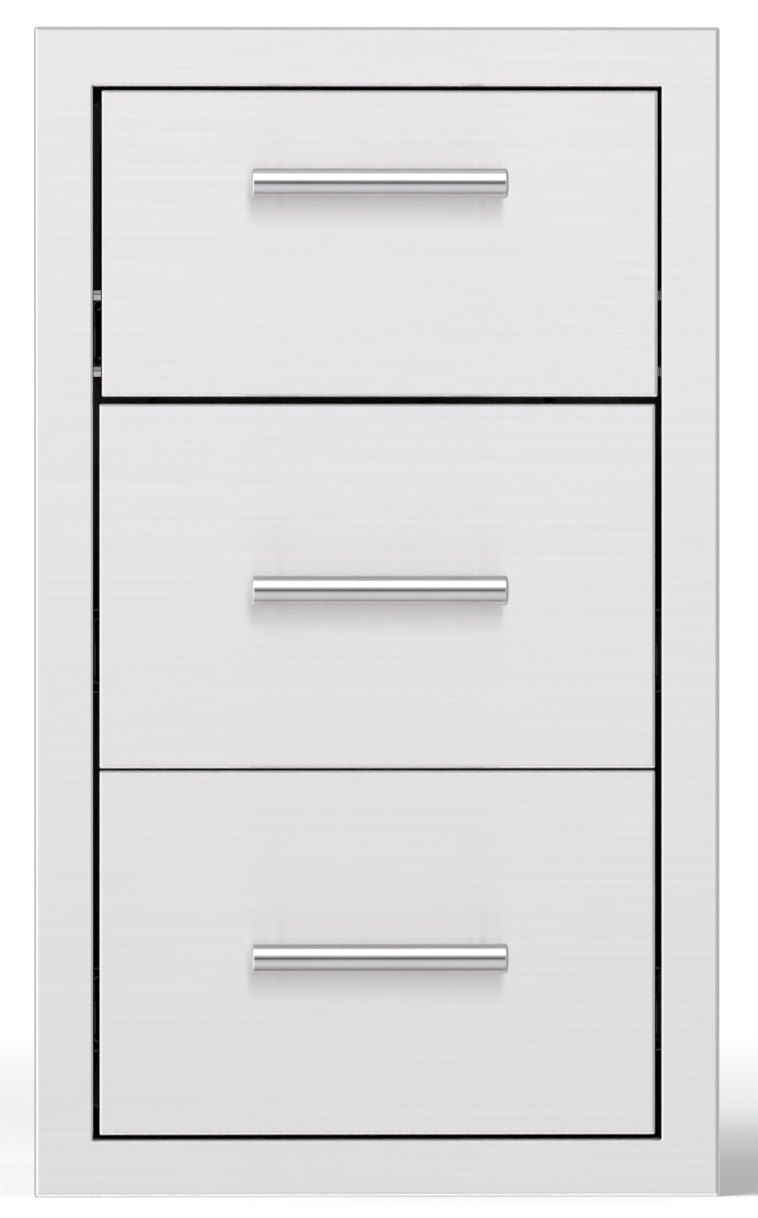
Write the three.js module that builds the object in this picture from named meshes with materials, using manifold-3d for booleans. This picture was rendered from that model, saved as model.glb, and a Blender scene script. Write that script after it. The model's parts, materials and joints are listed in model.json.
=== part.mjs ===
// Outdoor kitchen drawer unit: three stainless drawers in a folded face frame with a sheet steel casing behind it.
// Millimetres, +X to the right seen from the front, +Y to the back, +Z up.
// The origin is the middle of the overall box, at the height of the frame's lower edge.

import * as THREE from "three";
import { mergeVertices } from "three/addons/utils/BufferGeometryUtils.js";
import Module from "manifold-3d";

const wasm = await Module();
wasm.setup();

// Clearances
const weldGap = 0.1;
const boltGap = 0.3;
const overrun = 5;

// Face frame, one folded sheet round the opening
const frameWidth = 431.8;
const frameHeight = 736.6;
const sideBorder = 37.1;
const topBorder = 37.5;
const bottomBorder = 36.1;
const frameSheet = 1.2;
const frameBend = 2;
const frameEdgeDepth = 10;
const frameHem = 9;
const openingLipDepth = 20;
const frameCorner = 2;
const openingCorner = 0.5;
const leastCorner = 0.2;

// Casing behind the frame
const unitDepth = 508;
const casingSheet = 1;
const casingBend = 1.6;
const casingFrontFlange = 15;
const casingRearFlange = 12;
const casingSideFlange = 12;
const backFieldInset = 45;
const backFieldSlope = 6;
const backFieldDepth = 3;
const backCorner = 1.5;

// Drawer slides, 53 mm ball-bearing type with three members
const slideLength = 457;
const slideHeight = 53;
const slideThickness = 12.7;
const slideSetback = 2;
const upperSlideRise = 40;
const middleSlideRise = 73.8;
const lowerSlideRise = 78.4;
const slideBend = 2;
const runningGap = 0.3;
const ballRowLength = 200;
const outerMemberSheet = 1.2;
const outerMemberWidth = 9.6;
const outerMemberLip = 2.5;
const outerBallDiameter = 4;
const middleMemberSheet = 1;
const middleMemberWidth = 8.3;
const middleMemberLip = 2.2;
const middleMemberClearance = 0.9;
const middleMemberSetback = 2;
const innerBallDiameter = 3;
const innerMemberSheet = 1.2;
const innerMemberWidth = 8.3;
const innerMemberLip = 2.2;

// Drawer fronts
const frontSideGap = 3.4;
const frontDepth = 20;
const frontSheet = 1.2;
const frontBend = 2.4;
const frontHem = 9;
const frontCorner = 1.2;
const linerSheet = 1;
const linerMargin = 3.5;
const linerCorner = 3;
const gapAboveUpper = 2.4;
const gapBelowUpper = 4.3;
const gapBelowMiddle = 1.2;
const gapBelowLower = 2.9;
const upperFrontHeight = 193;
const upperFrontShift = 1.5;

// Drawer boxes
const boxSheet = 1;
const boxBend = 1.6;
const boxRise = 15;
const boxDrop = 28;
const floorFlange = 12;
const floorUpturn = 12;
const endTab = 12;
const rimWidth = 10;
const rimLip = 6;

// Handles
const barDiameter = 19;
const barLength = 162;
const barEndDepth = 2.8;
const barStandoff = 38;
const upperHandleDrop = 59.2;
const deepHandleDrop = 117.2;
const postDiameter = 10;
const postSpacing = 128;
const postChamfer = 0.6;
const screwDiameter = 5;
const screwReach = 12;
const screwHoleDepth = 15;
const screwHeadDiameter = 9.5;
const screwHeadHeight = 3;

// How finely the round shapes are cut
const bendSteps = 3;
const cornerSteps = 3;
const barSides = 24;
const barEndSteps = 5;
const postSides = 20;
const screwSides = 16;
const headSteps = 3;

// Places worked out from the sizes
const opening = {
  left: sideBorder - frameWidth / 2,
  right: frameWidth / 2 - sideBorder,
  bottom: bottomBorder,
  top: frameHeight - topBorder,
};
const openingHeight = opening.top - opening.bottom;
const frontWidth = opening.right - opening.left - 2 * frontSideGap;
const deepFrontHeight =
  (openingHeight - gapAboveUpper - upperFrontHeight - gapBelowUpper - gapBelowMiddle - gapBelowLower) / 2;
const casingFront = frameSheet + weldGap;
const casingInner = opening.right + frameSheet + weldGap;
const casingOuter = casingInner + casingSheet;
const casingTopLevel = opening.top + frameSheet + weldGap;
const casingBottomLevel = opening.bottom - frameSheet - weldGap;
const casingRear = unitDepth - casingSheet - weldGap - casingSheet;
const slideWall = casingInner - weldGap;
const middleWeb = slideWall - outerMemberSheet - middleMemberClearance;
const middleMemberHeight = slideHeight - 2 * (outerMemberSheet + outerBallDiameter + runningGap);
const innerMemberHeight = middleMemberHeight - 2 * (middleMemberSheet + innerBallDiameter + runningGap);
const boxHalf = slideWall - slideThickness - weldGap;
const boxInnerHalf = boxHalf - boxBend - weldGap;
const linerFront = frontDepth + weldGap;
const boxFront = linerFront + linerSheet + weldGap;
const slideFront = linerFront + linerSheet + slideSetback;
const boxRear = slideFront + slideLength;
const backFront = boxRear - boxSheet - weldGap - boxSheet;
const barRadius = barDiameter / 2;
const handleReach = barStandoff + barRadius;

// The three drawers, from the top down. A slide's rise is from the front's lower edge to the slide's middle, and a
// handle's drop from the front's upper edge to the bar's axis.
const drawers = [
  { name: "upper", gap: gapAboveUpper, height: upperFrontHeight, shift: upperFrontShift },
  { name: "middle", gap: gapBelowUpper, height: deepFrontHeight, shift: 0 },
  { name: "lower", gap: gapBelowMiddle, height: deepFrontHeight, shift: 0 },
];
const slideRises = [upperSlideRise, middleSlideRise, lowerSlideRise];
const handleDrops = [upperHandleDrop, deepHandleDrop, deepHandleDrop];
let level = opening.top;
drawers.forEach((drawer, i) => {
  drawer.top = level - drawer.gap;
  drawer.bottom = drawer.top - drawer.height;
  drawer.slideLevel = drawer.bottom + slideRises[i];
  drawer.handleLevel = drawer.top - handleDrops[i];
  level = drawer.bottom;
});

// Stainless and zinc finishes
const satinSteel = { color: 0xe2e2e5, roughness: 0.34, metalness: 0.9 };
const casingSteel = { color: 0xc9cacc, roughness: 0.45, metalness: 0.9 };
const polishedSteel = { color: 0xdcdcde, roughness: 0.2, metalness: 1 };
const zincSteel = { color: 0xb9bcc0, roughness: 0.4, metalness: 0.9 };
const screwSteel = { color: 0xc4c5c7, roughness: 0.3, metalness: 1 };

// The points of an arc about a centre, from one angle to another, both ends included
function arcPoints(centreU, centreV, radius, from, to, steps) {
  const points = [];
  for (let i = 0; i <= steps; i++) {
    const angle = from + ((to - from) * i) / steps;
    points.push([centreU + radius * Math.cos(angle), centreV + radius * Math.sin(angle)]);
  }
  return points;
}

// One side of a bent sheet: the path moved sideways by an offset, with each corner rounded.
// A corner's radius is the outside bend radius on its outer side and one sheet less on its inner side.
function bentLine(path, offset, sheet, bend) {
  const points = path.map(([u, v]) => new THREE.Vector2(u, v));
  const ways = points.slice(1).map((p, i) => p.clone().sub(points[i]).normalize());
  const left = (way) => new THREE.Vector2(-way.y, way.x);
  const line = [points[0].clone().addScaledVector(left(ways[0]), offset)];
  for (let i = 1; i < ways.length; i++) {
    const [before, after] = [ways[i - 1], ways[i]];
    const turn = Math.asin(before.x * after.y - before.y * after.x);
    const inside = turn > 0 === offset > 0;
    const radius = inside ? Math.max(bend - sheet, leastCorner) : bend;
    const mitre = left(before).add(left(after));
    const corner = points[i].clone().addScaledVector(mitre, (2 * offset) / mitre.lengthSq());
    const tangent = radius * Math.tan(Math.abs(turn) / 2);
    const start = corner.clone().addScaledVector(before, -tangent);
    const side = Math.sign(turn);
    const centre = start.clone().addScaledVector(left(before), side * radius);
    const from = Math.atan2(start.y - centre.y, start.x - centre.x);
    for (const [u, v] of arcPoints(centre.x, centre.y, radius, from, from + turn, bendSteps)) {
      line.push(new THREE.Vector2(u, v));
    }
  }
  line.push(points.at(-1).clone().addScaledVector(left(ways.at(-1)), offset));
  return line;
}

// A sheet's cross-section: the path is one face, and the sheet lies on the path's left
function foldedSheet(path, sheet, bend) {
  const face = bentLine(path, 0, sheet, bend);
  const other = bentLine(path, sheet, sheet, bend);
  return new THREE.Shape([...face, ...other.reverse()]);
}

function extrude(shape, length, basis, shift) {
  const geometry = new THREE.ExtrudeGeometry(shape, { depth: length, bevelEnabled: false });
  geometry.applyMatrix4(new THREE.Matrix4().makeBasis(...basis));
  return geometry.translate(...shift);
}

const xAxis = new THREE.Vector3(1, 0, 0);
const yAxis = new THREE.Vector3(0, 1, 0);
const zAxis = new THREE.Vector3(0, 0, 1);

// A cross-section drawn in X and Z, run from one depth to another
function alongY(shape, from, to) {
  return extrude(shape, to - from, [xAxis, zAxis, yAxis.clone().negate()], [0, to, 0]);
}

// A cross-section drawn in Y and Z, run from one X to another
function alongX(shape, from, to) {
  return extrude(shape, to - from, [yAxis, zAxis, xAxis], [from, 0, 0]);
}

// A cross-section drawn in X and Y, run from one height to another
function alongZ(shape, from, to) {
  return extrude(shape, to - from, [xAxis, yAxis, zAxis], [0, 0, from]);
}

// A plate between two corners
function plate(low, high) {
  const size = high.map((value, i) => value - low[i]);
  const middle = high.map((value, i) => (value + low[i]) / 2);
  return new THREE.BoxGeometry(...size).translate(...middle);
}

function solidOf(geometry) {
  const bare = geometry.clone();
  bare.deleteAttribute("normal");
  bare.deleteAttribute("uv");
  const merged = mergeVertices(bare);
  const vertProperties = new Float32Array(merged.attributes.position.array);
  const triVerts = new Uint32Array(merged.index.array);
  return new wasm.Manifold(new wasm.Mesh({ numProp: 3, vertProperties, triVerts }));
}

function geometryOf(solid) {
  const { vertProperties, triVerts } = solid.getMesh();
  const geometry = new THREE.BufferGeometry();
  geometry.setAttribute("position", new THREE.BufferAttribute(vertProperties, 3));
  geometry.setIndex(new THREE.BufferAttribute(triVerts, 1));
  return geometry;
}

function joined(...geometries) {
  return geometryOf(geometries.map(solidOf).reduce((whole, piece) => whole.add(piece)));
}

function cutBy(geometry, ...tools) {
  return geometryOf(tools.map(solidOf).reduce((whole, tool) => whole.subtract(tool), solidOf(geometry)));
}

// A copy reflected through a plane of the axes, with its faces still pointing out
function reflected(geometry, scales) {
  const copy = mergeVertices(geometry.clone().deleteAttribute("normal").deleteAttribute("uv")).scale(...scales);
  const index = copy.index.array;
  for (let i = 0; i < index.length; i += 3) {
    [index[i], index[i + 1]] = [index[i + 1], index[i]];
  }
  return copy;
}

const leftHand = (geometry) => reflected(geometry, [-1, 1, 1]);

function grown(rect, by) {
  return { left: rect.left - by, right: rect.right + by, bottom: rect.bottom - by, top: rect.top + by };
}

// A rectangle with rounded corners at one depth, as points counted anticlockwise seen from the front
function rectangleRing(rect, corner, depth) {
  const radius = Math.max(corner, leastCorner);
  const quarter = Math.PI / 2;
  const centres = [
    [rect.right - radius, rect.bottom + radius],
    [rect.right - radius, rect.top - radius],
    [rect.left + radius, rect.top - radius],
    [rect.left + radius, rect.bottom + radius],
  ];
  return centres.flatMap(([u, v], i) =>
    arcPoints(u, v, radius, (i - 1) * quarter, i * quarter, cornerSteps).map(([x, z]) => [x, depth, z]),
  );
}

// A skin over rings of equal count. Closed, the last ring joins the first; otherwise flat caps close both ends.
function ringSkin(rings, closed) {
  const count = rings[0].length;
  const index = [];
  const pairs = closed ? rings.length : rings.length - 1;
  for (let i = 0; i < pairs; i++) {
    const here = i * count;
    const there = ((i + 1) % rings.length) * count;
    for (let j = 0; j < count; j++) {
      const next = (j + 1) % count;
      index.push(here + j, there + j, there + next, here + j, there + next, here + next);
    }
  }
  const last = (rings.length - 1) * count;
  if (!closed) {
    for (let j = 1; j < count - 1; j++) {
      index.push(0, j, j + 1, last, last + j + 1, last + j);
    }
  }
  const geometry = new THREE.BufferGeometry();
  geometry.setAttribute("position", new THREE.Float32BufferAttribute(rings.flat(2), 3));
  geometry.setIndex(index);
  return geometry;
}

// The folded edge of a sheet face, as [distance in from the edge, depth]: round the bend, back along the
// edge, in along the rear hem, and back to the face's inner side
function foldedEdge(sheet, bend, depth, hem) {
  const tight = bend - sheet;
  const [top, side] = [-Math.PI / 2, Math.PI];
  return [
    ...arcPoints(bend, bend, bend, top, -side, bendSteps),
    ...arcPoints(bend, depth - bend, bend, side, -top, bendSteps),
    [hem, depth],
    [hem, depth - sheet],
    ...arcPoints(bend, depth - bend, tight, -top, side, bendSteps),
    ...arcPoints(bend, bend, tight, -side, top, bendSteps),
  ];
}

function faceFrame() {
  const outline = { left: -frameWidth / 2, right: frameWidth / 2, bottom: 0, top: frameHeight };
  const tight = frameBend - frameSheet;
  const quarter = Math.PI / 2;
  const outer = foldedEdge(frameSheet, frameBend, frameEdgeDepth, frameHem);
  const lip = [
    ...arcPoints(frameBend, frameBend, tight, -quarter, -2 * quarter, bendSteps),
    [frameSheet, openingLipDepth],
    [0, openingLipDepth],
    ...arcPoints(frameBend, frameBend, frameBend, -2 * quarter, -quarter, bendSteps),
  ];
  const rings = [
    ...outer.map(([inset, depth]) => rectangleRing(grown(outline, -inset), frameCorner - inset, depth)),
    ...lip.map(([outset, depth]) => rectangleRing(grown(opening, outset), openingCorner + outset, depth)),
  ];
  return ringSkin(rings, true);
}

// Right side of the casing: in plan a rear flange turned inwards and a front flange turned outwards behind the frame's
// face, and in elevation a channel whose flanges turn in under the top panel and over the bottom one
function casingSide() {
  const [foot, head] = [casingBottomLevel + weldGap, casingTopLevel - weldGap];
  const plan = foldedSheet(
    [
      [casingInner - casingRearFlange, casingRear],
      [casingInner, casingRear],
      [casingInner, casingFront],
      [casingInner + casingFrontFlange, casingFront],
    ],
    casingSheet, casingBend,
  );
  const channel = foldedSheet(
    [
      [casingOuter - casingSideFlange, foot],
      [casingOuter, foot],
      [casingOuter, head],
      [casingOuter - casingSideFlange, head],
    ],
    casingSheet, casingBend,
  );
  return joined(
    alongZ(plan, foot + casingBend, head - casingBend),
    alongY(channel, openingLipDepth + weldGap, casingRear - casingBend),
  );
}

// Top of the casing: front flange up behind the frame's face, rear flange down between the sides' rear flanges
function casingLid() {
  const path = [
    [casingFront, casingTopLevel + casingFrontFlange],
    [casingFront, casingTopLevel],
    [casingRear + casingSheet - casingBend, casingTopLevel],
  ];
  const web = alongX(foldedSheet(path, casingSheet, casingBend), -casingOuter, casingOuter);
  const rearPath = [
    [casingRear - casingRearFlange, casingTopLevel],
    [casingRear, casingTopLevel],
    [casingRear, casingTopLevel - casingRearFlange],
  ];
  const rearHalf = casingInner - Math.max(casingRearFlange, casingSideFlange) - boltGap;
  return joined(web, alongX(foldedSheet(rearPath, casingSheet, casingBend), -rearHalf, rearHalf));
}

function casingFloor() {
  return reflected(casingLid(), [1, 1, -1]).translate(0, 0, casingTopLevel + casingBottomLevel);
}

// Back of the casing: a plate whose middle is pressed inwards
function casingBack() {
  const outline = {
    left: -casingOuter,
    right: casingOuter,
    bottom: casingBottomLevel - casingSheet,
    top: casingTopLevel + casingSheet,
  };
  const ring = (inset, depth) => rectangleRing(grown(outline, -inset), backCorner + inset, depth);
  const flat = unitDepth - casingSheet;
  const field = backFieldInset + backFieldSlope;
  return ringSkin(
    [
      ring(field, flat - backFieldDepth),
      ring(backFieldInset, flat),
      ring(0, flat),
      ring(0, unitDepth),
      ring(backFieldInset, unitDepth),
      ring(field, unitDepth - backFieldDepth),
    ],
    false,
  );
}

// A right-hand slide member: a channel with turned lips, its web at one wall and its mouth facing the other
function slideMember(web, mouth, height, lip, sheet, from, to) {
  const half = height / 2;
  const path = [
    [mouth, lip - half],
    [mouth, -half],
    [web, -half],
    [web, half],
    [mouth, half],
    [mouth, half - lip],
  ];
  if (web < mouth) path.reverse();
  return alongY(foldedSheet(path, sheet, slideBend), from, to);
}

// The upper and lower rows of balls in a race, each as one round-topped strip standing on the member inside it
function ballRows(member, centre, height, sheet, diameter, rear) {
  const radius = diameter / 2;
  const foot = height / 2 - sheet;
  const crown = height / 2 + diameter - radius;
  const arc = arcPoints(centre, crown, radius, 0, Math.PI, 2 * bendSteps);
  const outline = [[centre + radius, foot], ...arc, [centre - radius, foot]].map(([u, v]) => new THREE.Vector2(u, v));
  const row = alongY(new THREE.Shape(outline), rear - ballRowLength, rear);
  return joined(member, row, reflected(row, [1, 1, -1]));
}

function slideOuter() {
  const mouth = slideWall - outerMemberWidth;
  const rear = slideFront + slideLength;
  return slideMember(slideWall, mouth, slideHeight, outerMemberLip, outerMemberSheet, slideFront, rear);
}

function slideMiddle() {
  const mouth = middleWeb - middleMemberWidth;
  const rear = slideFront + slideLength - middleMemberSetback;
  const member = slideMember(
    middleWeb, mouth, middleMemberHeight, middleMemberLip, middleMemberSheet,
    slideFront + middleMemberSetback, rear,
  );
  const race = slideWall - outerMemberWidth / 2;
  return ballRows(member, race, middleMemberHeight, middleMemberSheet, outerBallDiameter, rear);
}

function slideInner() {
  const web = slideWall - slideThickness;
  const rear = slideFront + slideLength;
  const member = slideMember(
    web, web + innerMemberWidth, innerMemberHeight, innerMemberLip, innerMemberSheet, slideFront, rear,
  );
  const race = middleWeb - middleMemberWidth / 2;
  return ballRows(member, race, innerMemberHeight, innerMemberSheet, innerBallDiameter, rear);
}

// A straight round tool or pin along Y, as a lathe profile of [radius, depth] pairs
function turnedAlongY(profile, sides) {
  const points = profile.map(([radius, depth]) => new THREE.Vector2(radius, depth));
  return new THREE.LatheGeometry(points, sides);
}

// Half an ellipse as [radius, rise] pairs, from its rim to the axis
function domePoints(radius, height, steps) {
  const quarter = arcPoints(0, 0, 1, 0, Math.PI / 2, steps).map(([across, up]) => [across * radius, up * height]);
  return [...quarter.slice(0, -1), [0, height]];
}

function holeAt(x, z, diameter, from, to) {
  const radius = diameter / 2;
  return turnedAlongY([[0, from], [radius, from], [radius, to], [0, to]], screwSides).translate(x, 0, z);
}

function screwHoles(drawer, from, to) {
  const hole = screwDiameter + 2 * boltGap;
  return [-1, 1].map((side) => holeAt((side * postSpacing) / 2, drawer.handleLevel, hole, from, to));
}

// The face that shows: a pan with bent edges and a rear hem
function frontPanel(drawer) {
  const middle = drawer.shift;
  const outline = {
    left: middle - frontWidth / 2,
    right: middle + frontWidth / 2,
    bottom: drawer.bottom,
    top: drawer.top,
  };
  const rings = foldedEdge(frontSheet, frontBend, frontDepth, frontHem).map(([inset, depth]) =>
    rectangleRing(grown(outline, -inset), frontCorner - inset, depth),
  );
  return cutBy(ringSkin(rings, false), ...screwHoles(drawer, -overrun, frontSheet + overrun));
}

// The sheet that closes the pan and is the drawer's inner front wall
function frontLiner(drawer) {
  const half = frontWidth / 2 - linerMargin;
  const outline = {
    left: drawer.shift - half,
    right: drawer.shift + half,
    bottom: drawer.bottom + linerMargin,
    top: drawer.top - linerMargin,
  };
  const sheet = ringSkin(
    [rectangleRing(outline, linerCorner, linerFront), rectangleRing(outline, linerCorner, linerFront + linerSheet)],
    false,
  );
  return cutBy(sheet, ...screwHoles(drawer, linerFront - overrun, linerFront + linerSheet + overrun));
}

function boxBottom(drawer) {
  return drawer.bottom + boxRise;
}

function boxTop(drawer) {
  return drawer.top - boxDrop;
}

// Right side of the drawer box: floor flange, web, top rim with a turned lip, and a tab at each end
function boxSide(drawer) {
  const [bottom, top] = [boxBottom(drawer), boxTop(drawer)];
  const web = foldedSheet(
    [
      [boxHalf - floorFlange, bottom],
      [boxHalf, bottom],
      [boxHalf, top - boxBend],
    ],
    boxSheet, boxBend,
  );
  const rim = foldedSheet(
    [
      [boxHalf, top - rimLip - boxBend],
      [boxHalf, top],
      [boxHalf - rimWidth, top],
      [boxHalf - rimWidth, top - rimLip],
    ],
    boxSheet, boxBend,
  );
  const tabAt = (depth) =>
    plate([boxHalf - endTab, depth, bottom + boxBend], [boxHalf - boxSheet / 2, depth + boxSheet, top - boxBend]);
  return joined(
    alongY(web, boxFront, boxRear),
    alongY(rim, boxFront, backFront - weldGap),
    tabAt(boxFront),
    tabAt(boxRear - boxSheet),
  );
}

// Floor of the drawer box, resting on the sides' flanges, with its front and rear ends turned up
function boxFloor(drawer) {
  const level = boxBottom(drawer) + boxSheet + weldGap;
  const front = boxFront + boxSheet + weldGap;
  const rear = backFront - weldGap;
  const path = [
    [front, level + floorUpturn],
    [front, level],
    [rear, level],
    [rear, level + floorUpturn],
  ];
  return alongX(foldedSheet(path, boxSheet, boxBend), -boxInnerHalf, boxInnerHalf);
}

// Back of the drawer box, with a rim between the rims of the sides
function boxBack(drawer) {
  const top = boxTop(drawer);
  const web = plate(
    [-boxInnerHalf, backFront, boxBottom(drawer) + boxSheet + weldGap],
    [boxInnerHalf, backFront + boxSheet, top - boxBend],
  );
  const rimHalf = boxHalf - rimWidth - boltGap;
  const back = backFront + boxSheet;
  const rim = foldedSheet(
    [
      [back, top - rimLip - boxBend],
      [back, top],
      [back - rimWidth, top],
      [back - rimWidth, top - rimLip],
    ],
    boxSheet, boxBend,
  );
  return joined(web, alongX(rim, -rimHalf, rimHalf));
}

// Round bar across the front, with ends domed as half an ellipse
function handleBar(drawer) {
  const shoulder = barLength / 2 - barEndDepth;
  const far = domePoints(barRadius, barEndDepth, barEndSteps).map(([radius, rise]) => [radius, shoulder + rise]);
  const near = far.map(([radius, along]) => [radius, -along]).reverse();
  return turnedAlongY([...near, ...far], barSides)
    .rotateZ(-Math.PI / 2)
    .translate(0, -barStandoff, drawer.handleLevel);
}

// Post between the front and the bar: coped to the bar and bored for its screw
function handlePost(drawer, side) {
  const radius = postDiameter / 2;
  const blank = turnedAlongY(
    [
      [0, -barStandoff],
      [radius, -barStandoff],
      [radius, -weldGap - postChamfer],
      [radius - postChamfer, -weldGap],
      [0, -weldGap],
    ],
    postSides,
  ).translate((side * postSpacing) / 2, 0, drawer.handleLevel);
  const bar = new THREE.CylinderGeometry(barRadius + weldGap, barRadius + weldGap, barLength, 2 * barSides)
    .rotateZ(-Math.PI / 2)
    .translate(0, -barStandoff, drawer.handleLevel);
  const bore = holeAt(
    (side * postSpacing) / 2, drawer.handleLevel, screwDiameter + 2 * boltGap, -screwHoleDepth, overrun,
  );
  return cutBy(blank, bar, bore);
}

// Screw from inside the drawer, through the liner and the front into the post
function handleScrew(drawer, side) {
  const seat = linerFront + linerSheet + weldGap;
  const dome = domePoints(screwHeadDiameter / 2, screwHeadHeight, headSteps);
  const profile = [
    [0, -screwReach],
    [screwDiameter / 2, -screwReach],
    [screwDiameter / 2, seat],
    ...dome.map(([radius, rise]) => [radius, seat + rise]),
  ];
  return turnedAlongY(profile, screwSides).translate((side * postSpacing) / 2, 0, drawer.handleLevel);
}

const unit = new THREE.Group();
unit.position.y = (handleReach - unitDepth) / 2;

function add(name, geometry, finish) {
  geometry.computeVertexNormals();
  const mesh = new THREE.Mesh(geometry, new THREE.MeshStandardMaterial(finish));
  mesh.name = name;
  unit.add(mesh);
}

add("face_frame", faceFrame(), satinSteel);
add("casing_right_side", casingSide(), casingSteel);
add("casing_left_side", leftHand(casingSide()), casingSteel);
add("casing_top", casingLid(), casingSteel);
add("casing_bottom", casingFloor(), casingSteel);
add("casing_back", casingBack(), casingSteel);

for (const drawer of drawers) {
  const named = (piece) => `${drawer.name}_${piece}`;
  for (const [piece, make] of [["slide_outer", slideOuter], ["slide_middle", slideMiddle], ["slide_inner", slideInner]]) {
    const right = make().translate(0, 0, drawer.slideLevel);
    add(named(`right_${piece}`), right, zincSteel);
    add(named(`left_${piece}`), leftHand(right), zincSteel);
  }
  add(named("front_panel"), frontPanel(drawer), satinSteel);
  add(named("front_liner"), frontLiner(drawer), casingSteel);
  add(named("box_right_side"), boxSide(drawer), casingSteel);
  add(named("box_left_side"), leftHand(boxSide(drawer)), casingSteel);
  add(named("box_floor"), boxFloor(drawer), casingSteel);
  add(named("box_back"), boxBack(drawer), casingSteel);
  add(named("handle_bar"), handleBar(drawer), polishedSteel);
  for (const [hand, side] of [["left", -1], ["right", 1]]) {
    add(named(`handle_post_${hand}`), handlePost(drawer, side), polishedSteel);
    add(named(`handle_screw_${hand}`), handleScrew(drawer, side), screwSteel);
  }
}

export default unit;
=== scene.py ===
# Outdoor kitchen drawer unit in stainless steel: the finish of every sheet, handle, slide and fastener.
# Metres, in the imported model's own frame: +X to the right seen from the front, +Y to the back, +Z up.

import json

import bmesh
import bpy
import numpy as np
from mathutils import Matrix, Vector

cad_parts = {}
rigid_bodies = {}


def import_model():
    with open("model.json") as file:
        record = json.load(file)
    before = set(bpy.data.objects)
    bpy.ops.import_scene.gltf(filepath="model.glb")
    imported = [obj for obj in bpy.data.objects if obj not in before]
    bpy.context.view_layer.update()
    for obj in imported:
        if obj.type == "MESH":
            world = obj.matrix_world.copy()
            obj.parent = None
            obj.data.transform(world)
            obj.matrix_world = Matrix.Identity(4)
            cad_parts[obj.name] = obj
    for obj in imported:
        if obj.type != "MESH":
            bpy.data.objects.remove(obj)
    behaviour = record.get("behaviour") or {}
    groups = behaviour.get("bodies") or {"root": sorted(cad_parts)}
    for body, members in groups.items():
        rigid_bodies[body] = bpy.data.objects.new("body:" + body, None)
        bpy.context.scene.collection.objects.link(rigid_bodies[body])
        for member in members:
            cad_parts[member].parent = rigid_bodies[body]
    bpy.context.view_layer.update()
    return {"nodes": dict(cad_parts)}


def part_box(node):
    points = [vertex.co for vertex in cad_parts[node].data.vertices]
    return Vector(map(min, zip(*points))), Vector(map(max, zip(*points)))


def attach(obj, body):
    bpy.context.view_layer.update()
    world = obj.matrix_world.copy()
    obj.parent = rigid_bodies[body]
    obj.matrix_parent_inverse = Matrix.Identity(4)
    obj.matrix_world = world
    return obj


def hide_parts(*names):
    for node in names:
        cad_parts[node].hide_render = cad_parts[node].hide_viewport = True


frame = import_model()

nodes = frame["nodes"]

# Casing: sides, top and bottom
# Four stainless sheets, 1 mm thick, folded on a press brake and spot welded along their flanges.
# They keep the mill's dull rolled finish, with rolling lines that run from front to back.


def add_node(tree, kind, **sockets):
    """A shader node whose sockets take a value, or the output of another node."""
    made = tree.nodes.new(kind)
    for label, value in sockets.items():
        socket = made.inputs[label.replace("_", " ")]
        if isinstance(value, bpy.types.NodeSocket):
            tree.links.new(value, socket)
        else:
            socket.default_value = value
    return made


def calc(tree, operation, *terms):
    """A Math node's result. Each term is a number or another node's output."""
    made = tree.nodes.new("ShaderNodeMath")
    made.operation = operation
    for socket, term in zip(made.inputs, terms):
        if isinstance(term, bpy.types.NodeSocket):
            tree.links.new(term, socket)
        else:
            socket.default_value = term
    return made.outputs[0]


def blend_colours(tree, share, low, high):
    """The low colour where the share is 0, the high one where it is 1."""
    made = tree.nodes.new("ShaderNodeMix")
    made.data_type = "RGBA"
    tree.links.new(share, made.inputs["Factor"])
    for socket, colour in zip((made.inputs[6], made.inputs[7]), (low, high)):
        if isinstance(colour, bpy.types.NodeSocket):
            tree.links.new(colour, socket)
        else:
            socket.default_value = [min(part, 1.0) for part in colour] + [1.0]
    return made.outputs[2]


def times(colour, share):
    """A colour made darker or lighter by one factor."""
    return [part * share for part in colour]


def noise(tree, sizes, detail):
    """Noise whose grains have these sizes along X, Y and Z, in metres."""
    where = add_node(tree, "ShaderNodeTexCoord").outputs["Object"]
    scaled = add_node(tree, "ShaderNodeMapping", Vector=where, Scale=[1 / size for size in sizes])
    return add_node(tree, "ShaderNodeTexNoise", Vector=scaled.outputs[0], Scale=1.0, Detail=detail).outputs[0]


def spot_welds(tree, rows):
    """1 in the middle of a spot weld, falling to 0 at its edge.

    A row is (axis across, middle, half spacing, axis along, pitch): two lines of spots, half the spacing to
    either side of the middle. The distance to a spot is the hypotenuse of its distance across and its wrapped
    distance along.
    """
    spot_radius = 0.0034
    where = add_node(tree, "ShaderNodeTexCoord").outputs["Object"]
    parts = add_node(tree, "ShaderNodeSeparateXYZ", Vector=where).outputs
    nearest = spot_radius
    for across, middle, half, along, pitch in rows:
        off = calc(tree, "ABSOLUTE", calc(tree, "SUBTRACT", parts[across], middle))
        off = calc(tree, "SUBTRACT", off, half)
        step = calc(tree, "WRAP", parts[along], pitch / 2, -pitch / 2)
        squares = calc(tree, "MULTIPLY_ADD", off, off, calc(tree, "MULTIPLY", step, step))
        nearest = calc(tree, "MINIMUM", nearest, calc(tree, "SQRT", squares))
    return calc(tree, "SUBTRACT", 1.0, calc(tree, "DIVIDE", nearest, spot_radius))


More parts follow.
